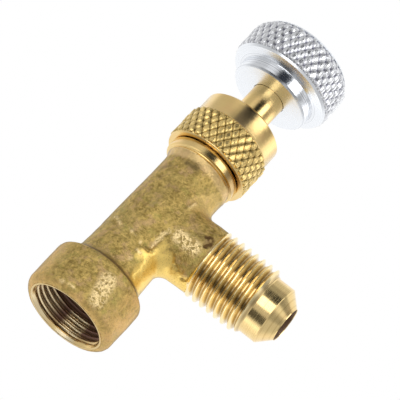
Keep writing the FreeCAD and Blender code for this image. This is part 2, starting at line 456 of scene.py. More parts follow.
def recalled(w, name):
    return w.wire("GeometryNodeInputNamedAttribute", {"Name": name}, data_type="FLOAT")


def knurl_tree():
    """Geometry Nodes tree that lays pitted diamond points on a sheet and wraps it round Z."""
    tree = bpy.data.node_groups.new("diamond_knurl", "GeometryNodeTree")
    tree.interface.new_socket("Geometry", in_out="OUTPUT", socket_type="NodeSocketGeometry")
    ids = {}
    for name, kind, default in KNURL_INPUTS:
        socket = tree.interface.new_socket(name, in_out="INPUT", socket_type="NodeSocket" + kind)
        if default is not None:
            socket.default_value = default
        ids[name] = socket.identifier
    w = Wiring(tree)
    given = {socket.name: Wire(w, socket) for socket in w.node("NodeGroupInput").outputs}
    around, pair = given["Points Around"], given["Row Pair Height"]
    wide = given["Radius"] * TURN / around
    spread = {"Size X": wide * (around - 1), "Size Y": pair * (given["Row Pairs"] - 1)}
    grid = w.node("GeometryNodeMeshGrid", {**spread, "Vertices X": around, "Vertices Y": given["Row Pairs"]})
    half = w.node("ShaderNodeCombineXYZ", {"X": wide * 0.5, "Y": pair * 0.5})
    shifted = w.node("GeometryNodeTransform", {"Geometry": grid, "Translation": half})
    both = w.node("GeometryNodeJoinGeometry")
    for rows in (grid, shifted):
        w.put(rows, both.inputs[0])
    size = w.node("ShaderNodeCombineXYZ", {"X": wide, "Y": pair, "Z": 1.0})
    placed = w.node(
        "GeometryNodeInstanceOnPoints", {"Points": both, "Instance": knurl_point(w, given), "Scale": size}
    )
    limits = {2: 1.0 - given["Wobble"], 3: 1.0, "Seed": given["Seed"]}
    chance = w.wire("FunctionNodeRandomValue", limits, 1, data_type="FLOAT")
    lifted = stored(w, placed, "lift", chance, "INSTANCE")
    real = w.node("GeometryNodeRealizeInstances", {"Geometry": lifted})
    x, y, _ = w.parts(w.node("GeometryNodeInputPosition"))
    over = (1.0 - recalled(w, "seat")) * recalled(w, "rise") * recalled(w, "lift")
    marked = stored(w, real, "tip", recalled(w, "seat") + over)
    out = given["Radius"] - given["Depth"] * (1.0 - recalled(w, "tip"))
    angle = x / given["Radius"]
    wrapped = w.node(
        "ShaderNodeCombineXYZ",
        {"X": out * w.calc("COSINE", angle), "Y": out * w.calc("SINE", angle), "Z": y + given["Foot"]},
    )
    rolled = w.node("GeometryNodeSetPosition", {"Geometry": marked, "Position": wrapped})
    closed = w.node("GeometryNodeMergeByDistance", {"Geometry": rolled, "Distance": WELD})
    coated = w.node("GeometryNodeSetMaterial", {"Geometry": closed, "Material": given["Finish"]})
    w.put(coated, w.node("NodeGroupOutput").inputs[0])
    return tree, ids


def knurl_point(w, given):
    """Diamond of the knurl, a unit across. rise is how far up its flank, seat how high its groove lies."""
    grid = w.node("GeometryNodeMeshGrid", {"Size X": 1.0, "Size Y": 1.0, "Vertices X": 7, "Vertices Y": 7})
    x, y, _ = w.parts(w.node("GeometryNodeInputPosition"))
    u, v = w.calc("ABSOLUTE", x), w.calc("ABSOLUTE", y)
    far = w.calc("MAXIMUM", u, v) * 2.0
    near = w.calc("MINIMUM", u, v) * 2.0
    off_centre = w.calc("MAXIMUM", far, LEAST)
    spread = w.calc("POWER", off_centre, -BULGE)
    corner = near / off_centre
    seat = given["Groove Saddle"] * (1.0 - w.calc("POWER", corner, 2.0))
    slope = (1.0 - far * spread) / (1.0 - given["Flat Top"])
    kept = stored(w, stored(w, grid, "rise", w.calc("MINIMUM", slope, 1.0)), "seat", seat)
    turned = w.node("ShaderNodeCombineXYZ", {"X": (x - y) * (spread * 0.5), "Y": (x + y) * (spread * 0.5)})
    return w.node("GeometryNodeSetPosition", {"Geometry": kept, "Position": turned})


def knurled_band(name, coat, sizes, inner, edges, flat, saddle, wobble, seed):
    """Knurled sleeve as an object, open inside, where a core fills it. edges are (height, drop) pairs from
    foot to top, in millimetres, where drop is how far the knurl lies below its full radius there."""
    tree, ids = knurl_tree()
    carrier = bpy.data.objects.new("knurl_carrier", bpy.data.meshes.new("knurl_carrier"))
    bpy.context.scene.collection.objects.link(carrier)
    layer = carrier.modifiers.new("knurl", "NODES")
    layer.node_group = tree
    heights, drops = zip(*edges)
    foot, top = heights[0], heights[-1]
    values = {
        "Radius": sizes.knurl_radius,
        "Foot": (foot + top) / 2 * MM,
        "Depth": sizes.knurl_depth,
        "Points Around": sizes.knurl_count,
        "Row Pair Height": sizes.knurl_row,
        "Flat Top": flat,
        "Groove Saddle": saddle,
        "Wobble": wobble,
        "Seed": seed,
        "Finish": finish(coat),
    }
    for key, value in values.items():
        layer[ids[key]] = value
    mesh = bpy.data.meshes.new_from_object(carrier.evaluated_get(bpy.context.evaluated_depsgraph_get()))
    bpy.data.objects.remove(carrier)
    work = bmesh.new()
    work.from_mesh(mesh)
    bpy.data.meshes.remove(mesh)
    for height in heights:
        bmesh.ops.bisect_plane(
            work,
            geom=work.verts[:] + work.edges[:] + work.faces[:],
            dist=1e-8,
            plane_co=Vector((0, 0, height * MM)),
            plane_no=Vector((0, 0, 1)),
            clear_outer=height == top,
            clear_inner=height == foot,
        )
    bmesh.ops.triangulate(work, faces=[f for f in work.faces if len(f.verts) > 4])
    for vert in work.verts:
        drop = float(np.interp(vert.co.z / MM, heights, drops)) * MM
        reach = vert.co.xy.length
        vert.co.xy = vert.co.xy * ((reach - drop) / reach)
    grown = {}
    for first, last in [e.verts[:] for e in work.edges if e.is_boundary]:
        for vert in (first, last):
            if vert not in grown:
                place = vert.co.xy * (inner * MM / vert.co.xy.length)
                grown[vert] = work.verts.new((*place, vert.co.z), vert)
        work.faces.new((first, last, grown[last], grown[first]))
    work.verts.index_update()
    layer = work.verts.layers.float.get("tip")
    points = np.array([v.co[:] for v in work.verts]) / MM
    tips = np.array([v[layer] for v in work.verts])
    faces = [[v.index for v in f.verts] for f in work.faces]
    work.free()
    band = piece(name, points, faces, coat, 24, merge=0)
    if len(tips) != len(band.data.vertices):
        raise RuntimeError("the knurl's tip heights no longer match its vertices")
    keep_values(band, "tip", tips)
    return band


# Materials

# Tool lines across a face for each one along the axis
FACE_LINES = 1.37


def material(name):
    """New material with its wiring, shader and object coordinates."""
    made = bpy.data.materials.new(name)
    made.use_nodes = True
    made.node_tree.nodes.clear()
    w = Wiring(made.node_tree)
    surface = w.node("ShaderNodeBsdfPrincipled")
    w.node("ShaderNodeOutputMaterial", {"Surface": surface})
    return made, w, surface, w.wire("ShaderNodeTexCoord", output="Object")


def ramp(w, value, *stops):
    """Colour ramp from (place, grey) stops."""
    made = w.node("ShaderNodeValToRGB", {"Fac": value})
    for element, (where, grey) in zip(made.color_ramp.elements, stops):
        element.position = where
        element.color = (grey, grey, grey, 1)
    return Wire(w, made.outputs["Color"])


def noise(w, place, size, detail=2.0, rough=0.5, seed=0.0):
    """Noise whose features are about size millimetres across."""
    shifted = w.node("ShaderNodeVectorMath", {0: place, 1: (seed, seed, seed)}, operation="ADD")
    inputs = {"Vector": shifted, "Scale": 1 / (size * MM), "Detail": detail, "Roughness": rough}
    return w.wire("ShaderNodeTexNoise", inputs)


def blend(w, amount, first, second):
    return w.wire("ShaderNodeMix", {0: amount, 6: first, 7: second}, 2, data_type="RGBA")


def ranged(w, value, low, high, start=0.0, full=1.0):
    """low where the value is start and high where it is full."""
    inputs = {"Value": value, "From Min": start, "From Max": full, "To Min": low, "To Max": high}
    return w.wire("ShaderNodeMapRange", inputs)


def smooth(w, value, start, full):
    """0 at start and 1 at full, eased at both."""
    inputs = {"Value": value, "From Min": start, "From Max": full}
    return w.wire("ShaderNodeMapRange", inputs, interpolation_type="SMOOTHSTEP")


def fade(w, value, start, full):
    """0 at start and 1 at full, both in millimetres."""
    return smooth(w, value, start * MM, full * MM)


def mesh_value(w, name):
    return w.wire("ShaderNodeAttribute", output="Fac", attribute_name=name)


def lathe(w, place, size, axis="Z"):
    """Distance along and from the spindle's axis, or the outlet's, and random lines that follow the tool."""
    if axis == "X":
        place = w.node("ShaderNodeVectorMath", {0: place, 1: (0, 0, -TEE * MM)}, operation="ADD")
    x, y, z = w.parts(place)
    along, across, other = (z, x, y) if axis == "Z" else (x, y, z)
    radial = w.calc("SQRT", across * across + other * other)
    path = along + radial * FACE_LINES
    inputs = {"W": path, "Scale": 1 / (size * MM), "Detail": 3.0, "Roughness": 0.65}
    return along, radial, w.wire("ShaderNodeTexNoise", inputs, noise_dimensions="1D")


def dress(w, surface, base, rough, height, depth):
    """Join the colour, the roughness and a bump of so many millimetres to the shader."""
    bump = w.node("ShaderNodeBump", {"Height": height, "Distance": depth * MM, "Strength": 1.0})
    for value, name in ((base, "Base Color"), (rough, "Roughness"), (bump, "Normal")):
        w.put(value, surface.inputs[name])


def cast_brass(colours):
    """Sand-cast brass: dull olive gold with a fine grain, and the looks that the casting's mesh carries."""
    made, w, surface, place = material("cast_brass")
    z = w.parts(place)[2]
    blotch = noise(w, place, 0.9, 3.0, 0.6)
    grain = noise(w, place, 0.42, 3.0, 0.6, seed=0.2)
    speck = noise(w, place, 0.17, 1.0, 0.5, seed=0.5)
    curl = w.calc("ABSOLUTE", noise(w, place, 0.62, 1.0, 0.5, seed=0.15) - 0.5)
    broad = ramp(w, noise(w, place, 5.0, 2.0, 0.5, seed=0.1), (0.42, 0), (0.66, 0.35))
    rosy = ramp(w, noise(w, place, 1.7, 3.0, 0.6, seed=0.7), (0.52, 0), (0.66, 0.6))
    green = ramp(w, noise(w, place, 1.4, 3.0, 0.6, seed=0.35), (0.55, 0), (0.68, 0.5))
    stain = ramp(w, noise(w, place, 2.4, 3.0, 0.6, seed=0.9), (0.36, 0.2), (0.6, 0.8))
    machined = fade(w, z, 28.8, 29.6)
    upper = fade(w, z, 19.55, 22.55)
    ragged = mesh_value(w, "trim") + (blotch - 0.5) * 0.5 + (grain - 0.5) * 0.5
    trim = ramp(w, ragged, (0.15, 0), (0.9, 1)) * (1.0 - machined) * (1.0 - upper * 0.66)
    worn = mesh_value(w, "worn")
    worm = worn * ramp(w, curl, (0.045, 1), (0.15, 0))
    # Bright cream: painted highlights on the spots, and on the worn patches' curls partly bare worn metal and
    # partly painted highlight
    shine = w.calc("MAXIMUM", worm, mesh_value(w, "glint_mark") * ramp(w, grain, (0.35, 0.2), (0.55, 1)))
    # Painted shade in a band round the collar's shoulder, where the barrel meets it
    hollow = fade(w, z, 7.7, 8.05) * fade(w, z, 9.2, 8.3) * 0.8
    # Painted shade along the dents and marks, joined with random dark specks of grain
    dent_shade = ramp(w, mesh_value(w, "dirt") + (grain - 0.5) * 0.9, (0.3, 0), (0.75, 1))
    specks_and_dent_shade = w.calc("MAXIMUM", dent_shade, ramp(w, speck, (0.3, 1), (0.4, 0)) * 0.4)
    # Painted shade: the skin darkens towards its outlines, where it turns edge-on to the view
    edge = w.wire("ShaderNodeLayerWeight", {"Blend": 0.5}, "Facing")

    tone = ramp(w, blotch * 0.5 + grain * 0.5, (0.39, 0), (0.61, 1))
    base = blend(w, tone, colours.cast_dark, colours.cast_light)
    for amount, tint in (
        (broad, (0.56, 0.44, 0.16)),
        (rosy, (0.64, 0.42, 0.22)),
        (green, (0.43, 0.37, 0.10)),
        (mesh_value(w, "warm") * stain, (0.80, 0.52, 0.20)),
        (machined * 0.6, (0.82, 0.58, 0.28)),
        (trim, blend(w, upper, colours.trimmed, (0.95, 0.67, 0.27))),
        (worn * 0.6, (0.47, 0.33, 0.12)),
        (mesh_value(w, "shade"), (0.13, 0.09, 0.045)),
        # painted highlights on the spots, and partly on the worn curls
        (shine * 0.82, (1.0, 0.77, 0.39)),
        # painted shade along the dents and round the collar's shoulder, with dark specks of grain
        (w.calc("MAXIMUM", specks_and_dent_shade, hollow), (0.15, 0.085, 0.03)),
        # painted shade towards the outlines
        (ramp(w, edge, (0.72, 0), (0.92, 0.6)), (0.16, 0.11, 0.06)),
    ):
        base = blend(w, amount, base, tint)
    surface.inputs["Metallic"].default_value = 0.9
    smoother = w.calc("MAXIMUM", w.calc("MAXIMUM", trim, shine), machined) * 0.16
    calm = w.calc("MAXIMUM", trim * 0.65, machined * 0.35)
    height = (grain * 0.7 + speck * 0.2 + blotch * 0.9) * (1.0 - calm) + worm * 0.35
    dress(w, surface, base, ranged(w, grain, 0.46, 0.62, 0.3, 0.7) - smoother, height, 0.2)
    return made


class TurnedBrass:
    """Turned brass with fine tool lines and pinkish streaks, to which each finish adds its own stains,
    painted shade and painted highlights.
    """

    def __init__(self, name, axis, tint, warm, rough):
        self.made, self.w, self.surface, self.place = material(name)
        self.along, self.radial, self.lines = lathe(self.w, self.place, 0.11, axis)
        streaks = ramp(self.w, noise(self.w, self.place, 2.2, 2.0, 0.55), (0.45, 0), (0.75, 0.6))
        self.base = blend(self.w, streaks, tint, warm)
        self.stain(ramp(self.w, self.lines, (0.3, 0.35), (0.48, 0)), (0.45, 0.29, 0.08))
        self.rough = ranged(self.w, noise(self.w, self.place, 0.7, 2.0), rough - 0.06, rough + 0.1)
        self.surface.inputs["Metallic"].default_value = 1.0

    # Blends in a colour: used for real stains and also for painted shade, painted reflections and painted
    # highlights
    def stain(self, amount, tint):
        self.base = blend(self.w, amount, self.base, tint)

    def on_axis(self, start, full):
        return fade(self.w, self.along, start, full)

    def off_axis(self, start, full):
        return fade(self.w, self.radial, start, full)

    def facing(self, x, y, edge, middle):
        """1 in the direction (x, y) from the spindle, 0 away from it. edge and middle are cosines."""
        across, other, _ = self.w.parts(self.place)
        return smooth(self.w, (across * x + other * y) / self.radial, edge, middle)

    def bore(self, dull, tint, loss):
        """Painted shade inside a bore, which is also rougher and loses part of the metal's shine."""
        self.stain(dull, tint)
        self.rough = self.rough + dull * 0.2
        self.w.put(1.0 - dull * loss, self.surface.inputs["Metallic"])

    def done(self, depth=0.012):
        dress(self.w, self.surface, self.base, self.rough, self.lines, depth)
        return self.made


def spindle_brass(colours):
    """Bright turned brass of the stem, nut and ring, with a painted dark reflection on one side of the ring
    and of the nut's band.
    """
    brass = TurnedBrass("spindle_brass", "Z", colours.turned, colours.turned_warm, 0.13)
    ring = brass.on_axis(30.4, 30.7) * brass.on_axis(32.3, 32.2)
    # Painted dark reflection on one side of the ring
    brass.stain(ring * brass.facing(0.86, -0.51, 0.9, 0.98) * 0.75, (0.36, 0.23, 0.10))
    band = brass.on_axis(37.6, 38.1) * brass.on_axis(41.3, 40.7) * brass.off_axis(5.6, 6.0)
    # Painted dark reflection down one side of the nut's band above its knurl
    brass.stain(band * brass.facing(0.094, -0.996, 0.978, 0.996) * 0.75, (0.25, 0.19, 0.11))
    return brass.done()


def outlet_brass(colours):
    """Paler turned brass, with painted shade in the thread's roots and in the bore."""
    brass = TurnedBrass("outlet_brass", "X", colours.outlet, colours.turned_warm, 0.13)
    # Painted shade inside the bore, where the metal is also rougher and less metallic
    brass.bore(brass.off_axis(2.76, 2.71) * brass.on_axis(24.13, 24.0), (0.14, 0.07, 0.03), 0.8)
    thread = brass.on_axis(19.45, 19.3)
    brass.stain(thread, colours.thread)
    # Painted shade in the thread's roots
    brass.stain(thread * brass.off_axis(5.3, 4.95) * 0.62, (0.40, 0.24, 0.07))
    return brass.done()


def inlet_brass(colours):
    """Brass bore with painted shade deeper inside, two streaks of painted highlight on its thread, and a
    bright rim.
    """
    brass = TurnedBrass("inlet_brass", "Z", colours.outlet, colours.turned_warm, 0.2)
    # Two streaks of painted highlight down the thread, each on one side of the bore
    stripes = (brass.facing(0.12, 0.993, 0.94, 0.995), brass.facing(-0.866, 0.5, 0.72, 0.97) * 0.75)
    painted_highlight = brass.w.calc("MAXIMUM", *stripes) * brass.on_axis(4.6, 3.6)
    # Painted shade, darker deeper inside the bore, but not on the painted highlights
    dull = brass.off_axis(6.4, 6.35) * brass.on_axis(0.45, 1.9) * (1.0 - painted_highlight * 0.9)
    brass.bore(dull, colours.bore, 0.3)
    brass.stain(painted_highlight * 0.8, (1.0, 0.86, 0.6))
    # Painted shade in the thread's roots
    root = brass.off_axis(5.8, 6.05) * brass.on_axis(0.5, 0.7)
    brass.stain(root * (0.5 - painted_highlight * 0.4), (0.33, 0.19, 0.09))
    face = brass.on_axis(0.12, 0.04) * brass.off_axis(6.0, 6.08)
    brass.stain(face * 0.5, (0.44, 0.31, 0.12))
    return brass.done(0.004)


def knurled(name, tip_colour, valley_colour, rough, dirt):
    """Knurled metal: bright flattened points and valleys darkened with painted shade, from the mesh's tip
    attribute.
    """
    made, w, surface, place = material(name)
    # Painted shade: the valley colour fills the knurl's valleys by the mesh's tip height; the soiled patches
    # below use it as dirt
    high = ramp(w, mesh_value(w, "tip") + (noise(w, place, 0.5, 2.0) - 0.5) * 0.3, (0.12, 0), (0.5, 1))
    soiled = ramp(w, noise(w, place, 1.6, 3.0, 0.6, seed=0.3), (0.5, 0), (0.7, dirt))
    base = blend(w, soiled, blend(w, high, valley_colour, tip_colour), valley_colour)
    surface.inputs["Metallic"].default_value = 1.0
    dress(w, surface, base, ranged(w, high, rough + 0.15, rough), noise(w, place, 0.18, 3.0, 0.7), 0.03)
    return made


def knurled_brass(colours):
    return knurled("knurled_brass", colours.knurl, colours.valley, 0.26, 0.45)


def knurled_aluminium(colours):
    return knurled("knurled_aluminium", colours.aluminium_knurl, colours.aluminium_valley, 0.22, 0.4)


def knob_aluminium(colours):
    """Turned aluminium: fine rings, with a satin face and web."""
    made, w, surface, place = material("knob_aluminium")
    along, _, lines = lathe(w, place, 0.16)
    face = fade(w, along, KNOB_FACE + 0.15, KNOB_FACE + 0.05)
    satin = w.calc("MAXIMUM", face, fade(w, along, 49.45, 49.7))
    rings = ramp(w, lines, (0.36, 0.75), (0.5, 0)) * (1.0 - satin * 0.8)
    base = blend(w, rings, colours.aluminium, (0.42, 0.43, 0.47))
    surface.inputs["Metallic"].default_value = 1.0
    dress(w, surface, base, ranged(w, noise(w, place, 0.8, 2.0), 0.1, 0.18) + satin * 0.14, lines, 0.01)
    return made


def seal_rubber(colours):
    made, w, surface, place = material("seal_rubber")
    grain = noise(w, place, 0.12, 3.0, 0.6)
    dust = ramp(w, noise(w, place, 0.9, 3.0, 0.6, seed=0.4), (0.5, 0), (0.75, 0.3))
    base = blend(w, dust, colours.rubber, (0.09, 0.085, 0.08))
    dress(w, surface, base, ranged(w, grain, 0.5, 0.75), grain, 0.02)
    return made


def screw_steel(colours):
    made, w, surface, place = material("screw_steel")
    lines = lathe(w, place, 0.13)[2]
    stain = ramp(w, noise(w, place, 0.8, 2.0), (0.5, 0), (0.75, 0.5))
    base = blend(w, stain, colours.steel, (0.42, 0.40, 0.37))
    surface.inputs["Metallic"].default_value = 1.0
    dress(w, surface, base, ranged(w, lines, 0.22, 0.4), lines, 0.008)
    return made


FINISH_MAKERS = {
    maker.__name__: maker
    for maker in (
        cast_brass, spindle_brass, outlet_brass, inlet_brass, knurled_brass,
        knob_aluminium, knurled_aluminium, seal_rubber, screw_steel,
    )
}
MADE = {}


def finish(name):
    """The named material, made on first use."""
    if name not in MADE:
        MADE[name] = FINISH_MAKERS[name](bpy.context.scene.can_tap_finishes)
    return MADE[name]


# Casting

# Radius of the barrel and its collar by height
BARREL_OUTLINE = [
    (-1.0, 6.2), (0.03, 6.42), (0.1, 6.64), (0.25, 6.91), (0.5, 7.19), (0.8, 7.4),
    (1.2, 7.52), (6.95, 7.54), (7.35, 7.5), (7.65, 7.4), (7.85, 7.18), (8.6, 6.12),
    (8.9, 5.82), (9.35, 5.56), (10.15, 5.38), (14.5, 5.2), (14.85, 5.22), (19.55, 5.14),
    (25.55, 4.97), (28.7, 4.95), (29.4, 5.0), (30.0, 5.17), (30.4, 5.36), (31.0, 5.6),
]

# Lines that the marks on the near side follow
FLASH_EDGE = [
    (3.1, -4.33, 14.8), (3.16, -4.48, 15.75), (3.18, -4.71, 16.55), (3.15, -4.94, 17.25), (3.5, -5.1, 18.15),
]
FLASH_NICK = [(2.3, -4.68, 14.05), (3.0, -4.24, 14.15), (3.46, -3.91, 14.55)]
UPPER_BEAD = [(3.25, -4.88, 23.35), (3.4, -4.35, 24.6)]
UPPER_NICK = [(2.88, -5.21, 22.55), (2.96, -4.92, 23.55), (2.93, -4.58, 24.55)]
TOP_NICK = [(2.54, -4.49, 25.75), (2.56, -4.46, 26.45), (3.18, -4.04, 26.25)]
LEFT_BEAD = [(-3.82, -3.73, 15.25), (-2.64, -4.57, 14.7)]
LEFT_NICK = [(-3.74, -3.71, 14.65), (-2.85, -4.34, 14.35)]
BRANCH_HOOK = [
    (8.15, -5.2, 21.05), (8.56, -5.2, 21.45), (9.17, -5.2, 21.1), (9.1, -5.27, 20.35), (8.9, -5.2, 19.8),
]
UNDER_NICK = [(7.08, -2.59, 15.75), (7.65, -2.4, 15.65), (8.33, -2.48, 15.7)]
UNDER_HOOK = [(8.68, -1.47, 15.3), (9.33, -1.65, 15.35), (9.6, -2.49, 15.7), (9.6, -3.19, 16.15)]
COLLAR_SCRAPE = [(-2.7, -6.85, 0.85), (-1.9, -7.1, 0.87), (-1.26, -7.25, 0.95), (-0.57, -7.37, 1.05)]
LOWER_SCRAPE = [(1.9, -4.89, 12.65), (2.5, -4.59, 12.85)]
MIDDLE_SCRAPE = [(-0.76, -5.2, 14.7), (0.2, -5.2, 14.35)]

# Marks left by the mould and by fettling: their line, half width and height (negative is a dent)
MARKS = [
    (FLASH_EDGE, 0.3, 0.36),
    (FLASH_NICK, 0.28, -0.25),
    ([(2.58, -4.99, 16.75), (2.89, -5.1, 17.55)], 0.2, -0.16),
    (UPPER_BEAD, 0.22, 0.28),
    (UPPER_NICK, 0.22, -0.2),
    (TOP_NICK, 0.3, -0.16),
    (LEFT_BEAD, 0.32, 0.34),
    (LEFT_NICK, 0.22, -0.2),
    (BRANCH_HOOK, 0.26, -0.2),
    (UNDER_NICK, 0.24, -0.2),
    (UNDER_HOOK, 0.18, -0.16),
    (COLLAR_SCRAPE, 0.2, 0.14),
    (LOWER_SCRAPE, 0.2, 0.12),
    (MIDDLE_SCRAPE, 0.18, 0.12),
]

# Lines of painted shade along the dents and marks: their line, half width and strength
DENT_SHADES = [
    (BRANCH_HOOK, 0.42, 1.0),
    ([(8.6, -5.25, 20.85), (8.9, -5.25, 20.65)], 0.5, 0.75),
    (FLASH_NICK, 0.3, 0.65),
    ([(2.4, -4.95, 16.35), (2.58, -4.99, 16.75), (2.89, -5.1, 17.55)], 0.2, 0.5),
    (UPPER_NICK, 0.24, 0.4),
    (TOP_NICK, 0.32, 0.4),
    ([(1.7, -4.85, 26.25), (2.2, -4.7, 26.45)], 0.3, 0.4),
    (LEFT_NICK, 0.24, 0.35),
    (UNDER_NICK, 0.28, 0.5),
    (UNDER_HOOK, 0.18, 0.55),
    ([(5.16, -3.89, 16.55), (5.65, -3.32, 16.1)], 0.2, 0.5),
]

# Soft dark shades: their line, half width and strength
SHADES = [
    ([(-1.4, -4.89, 28.55), (-0.54, -5.06, 28.65), (0.3, -5.1, 28.65)], 0.55, 0.75),
    ([(-0.6, -5.2, 29.15), (0.2, -5.3, 29.25)], 0.6, 0.4),
    ([(-3.98, -3.25, 26.45), (-2.82, -4.28, 26.95)], 0.4, 0.45),
    ([(7.2, -5.2, 20.55), (8.9, -5.2, 20.15)], 0.7, 0.35),
]

# Patches worn bright: their line and the reach on both sides
BRIGHT_PATCHES = [
    ([(2.3, -7.05, 5.15), (2.7, -6.95, 3.25), (3.0, -6.85, 2.05)], 1.75),
    ([(5.2, -5.0, 18.55), (7.7, -5.0, 18.55)], 1.6),
]
# Spots painted bright as highlights along the raised beads and scrapes: their line and the reach on both
# sides
GLINT_SPOTS = [
    (COLLAR_SCRAPE, 0.24),
    (LOWER_SCRAPE, 0.3),
    (MIDDLE_SCRAPE, 0.22),
    ([(1.5, -4.97, 14.05), (1.55, -4.97, 14.25)], 0.2),
    ([(2.0, -4.88, 11.05), (2.1, -4.88, 11.15)], 0.25),
    (FLASH_EDGE, 0.32),
    (UPPER_BEAD, 0.26),
    (LEFT_BEAD, 0.3),
]

# Unevenness of the sand mould
BROAD = Noise(5)
FINE = Noise(11)


def round_join(first, second, radius):
    """Union of two distances with a round fillet of that radius in the corner between them."""
    u = np.maximum(radius - first, 0)
    v = np.maximum(radius - second, 0)
    return np.maximum(radius, np.minimum(first, second)) - np.hypot(u, v)


def line_gap(x, y, z, line):
    """Distance from a line through the given points."""
    least = np.inf
    for first, last in zip(line, line[1:]):
        run = np.subtract(last, first)
        offset = (x - first[0], y - first[1], z - first[2])
        along = np.clip(sum(o * r for o, r in zip(offset, run)) / (run @ run), 0, 1)
        least = np.minimum(least, sum((o - along * r) ** 2 for o, r in zip(offset, run)))
    return np.sqrt(least)


def mark_height(x, y, z):
    """Height of the listed marks above the plain casting."""
    total = 0.0
    for line, half, height in MARKS:
        total = total + height * np.exp(-((line_gap(x, y, z, line) / half) ** 2))
    return total * (1 + 0.5 * FINE.at(x, y, z, 0.5))


def trimmed_at(x, y, z, soft):
    """1 where the mould's flash was trimmed off at the branch's two corners, 0 elsewhere."""
    limit = 4.4 - 0.5 * np.maximum(x - 4.0, 0)
    above = np.where(np.hypot(y, z - TEE) > 5.4, 5.0 - 0.34 * np.maximum(z - 22.55, 0), limit)
    limit = np.where(z < TEE, limit, above) + 0.5 * FINE.at(x, y, z, 1.2)
    amount = eased((limit - np.abs(y)) / soft + 0.5) * eased(x - 1.4)
    return amount * eased((z - 8.2) / 1.2) * eased((29.55 - z) / 1.4)


def casting_looks(x, y, z):
    """Where the casting is trimmed, worn, stained warm, painted bright as highlights and painted dark as
    shade, each from 0 to 1.
    """

    def gap(line):
        return line_gap(x, y, z, line)

    waver = 0.2 * FINE.at(x, y, z, 0.4)
    worn = [eased(reach - gap(line)) for line, reach in BRIGHT_PATCHES]
    # Spots painted bright as highlights along the raised beads and scrapes
    glint_mark = [eased((half - gap(line) + waver) / 0.35 + 0.5) for line, half in GLINT_SPOTS]
    # Painted shade along the dents and marks
    dirt = [strength * np.exp(-(((gap(line) + waver) / half) ** 2)) for line, half, strength in DENT_SHADES]
    shade = [strength * np.exp(-((gap(line) / half) ** 2)) for line, half, strength in SHADES]
    ends = eased((np.abs(x) - 4.2) / 2.5) * eased((8.05 - z) / 0.8)
    rim = eased((1.4 - z) / 1.2) * 0.7
    looks = {"worn": worn, "glint_mark": glint_mark, "dirt": dirt, "shade": shade, "warm": [ends, rim]}
    strongest = {name: np.maximum.reduce(values) for name, values in looks.items()}
    return {"trim": trimmed_at(x, y, z, 1.0), **strongest}


def casting_field(sizes):
    """Distance from the casting's skin, hollow inside, as a function of x, y and z."""
    heights, radii = zip(*BARREL_OUTLINE)
    branch = sizes.branch_radius / MM
    corner = sizes.corner_radius / MM
    lump = sizes.lump_height / MM

    def field(x, y, z):
        reach = np.hypot(x, y)
        wander = np.where((z > 11.55) & (z < 17.55), 0.45 * BROAD.at(x, y, 0 * z, 2.4), 0)
        ends = np.maximum(CASTING_FOOT - z, z - CASTING_TOP)
        barrel = np.maximum(reach - np.interp(z + wander, heights, radii), ends)
        across = np.hypot(y, z - TEE)
        side = np.maximum(across - branch, np.maximum(x - BRANCH_END, -x))
        body = round_join(barrel, side, corner)
        trimmed = trimmed_at(x, y, z, 0.7)
        machined = eased((z - 29.35) / 0.9)
        rough = BROAD.at(x, y, z, 1.7) + 0.6 * FINE.at(x, y, z, 0.8)
        body = body - lump * 0.6 * rough * (1 - 0.6 * trimmed) * (1 - machined)
        flash = 0.26 * eased((18.0 - z) / 3.5) * trimmed_at(x, y, z, 2.5)
        pad = 0.62 * eased((z - 25.0) / 2.5) * eased((31.0 - z) / 1.5)
        flash = flash + pad * eased((3.6 - np.abs(y)) / 2.5) * eased(x - 2)
        body = body - flash + 0.07 * trimmed * np.clip(1 - 4 * flash, 0, 1) - mark_height(x, y, z)
        mouth = np.maximum(reach - np.where(z < LIP_TOP, LIP_RADIUS, MOUTH_RADIUS), z - MOUTH_TOP)
        gas_way = np.maximum(reach - GAS_WAY_RADIUS, z - GAS_WAY_TOP)
        chamber = np.maximum(reach - CHAMBER_RADIUS, np.maximum(CHAMBER_FOOT - z, z - CHAMBER_TOP))
        bore = np.maximum(reach - BORE_RADIUS, BORE_FOOT - z)
        outlet = across - np.where(x > SOCKET_FOOT, SOCKET_RADIUS, OUTLET_RADIUS)
        outlet = np.maximum(outlet, OUTLET_FOOT - x)
        return np.maximum(body, -np.minimum.reduce([mouth, gas_way, chamber, bore, outlet]))

    return field


# Pieces


def inlet_fitting(sizes):
    """Machined mouth ring, its thread and the gasket's seat, as one closed solid."""
    crest = sizes.inlet_minor_radius / MM
    depth = sizes.inlet_depth / MM
    foot, top = 0.05, 5.75
    lip = crest + 0.3

    def radius_at(phase, z):
        ends = np.clip((top - z) / 0.5, 0, 1) ** 0.5 * np.clip((z - foot - 0.4) / 0.35, 0, 1)
        ridge = (np.hypot(phase, 0.16) - 0.16) / (math.hypot(0.4, 0.16) - 0.16)
        cut = crest + depth * np.clip(ridge, 0, 1) * ends
        return np.maximum(cut, lip - (z - foot) * 0.5)

    rest = [
        (crest, top), (crest, 5.85), (6.05, 5.85), (6.05, 7.05), (2.2, 7.05), (2.2, 9.05),
        (2.7, 9.05), (2.7, 8.45), (6.3, 7.25), (6.66, 6.15), (6.66, 1.1), (6.36, 0.8),
        (6.36, 0.05), (6.31, 0.0), (lip + 0.05, 0.0), (lip, foot),
    ]
    return threaded(radius_at, sizes.inlet_pitch / MM, foot, top, rest)


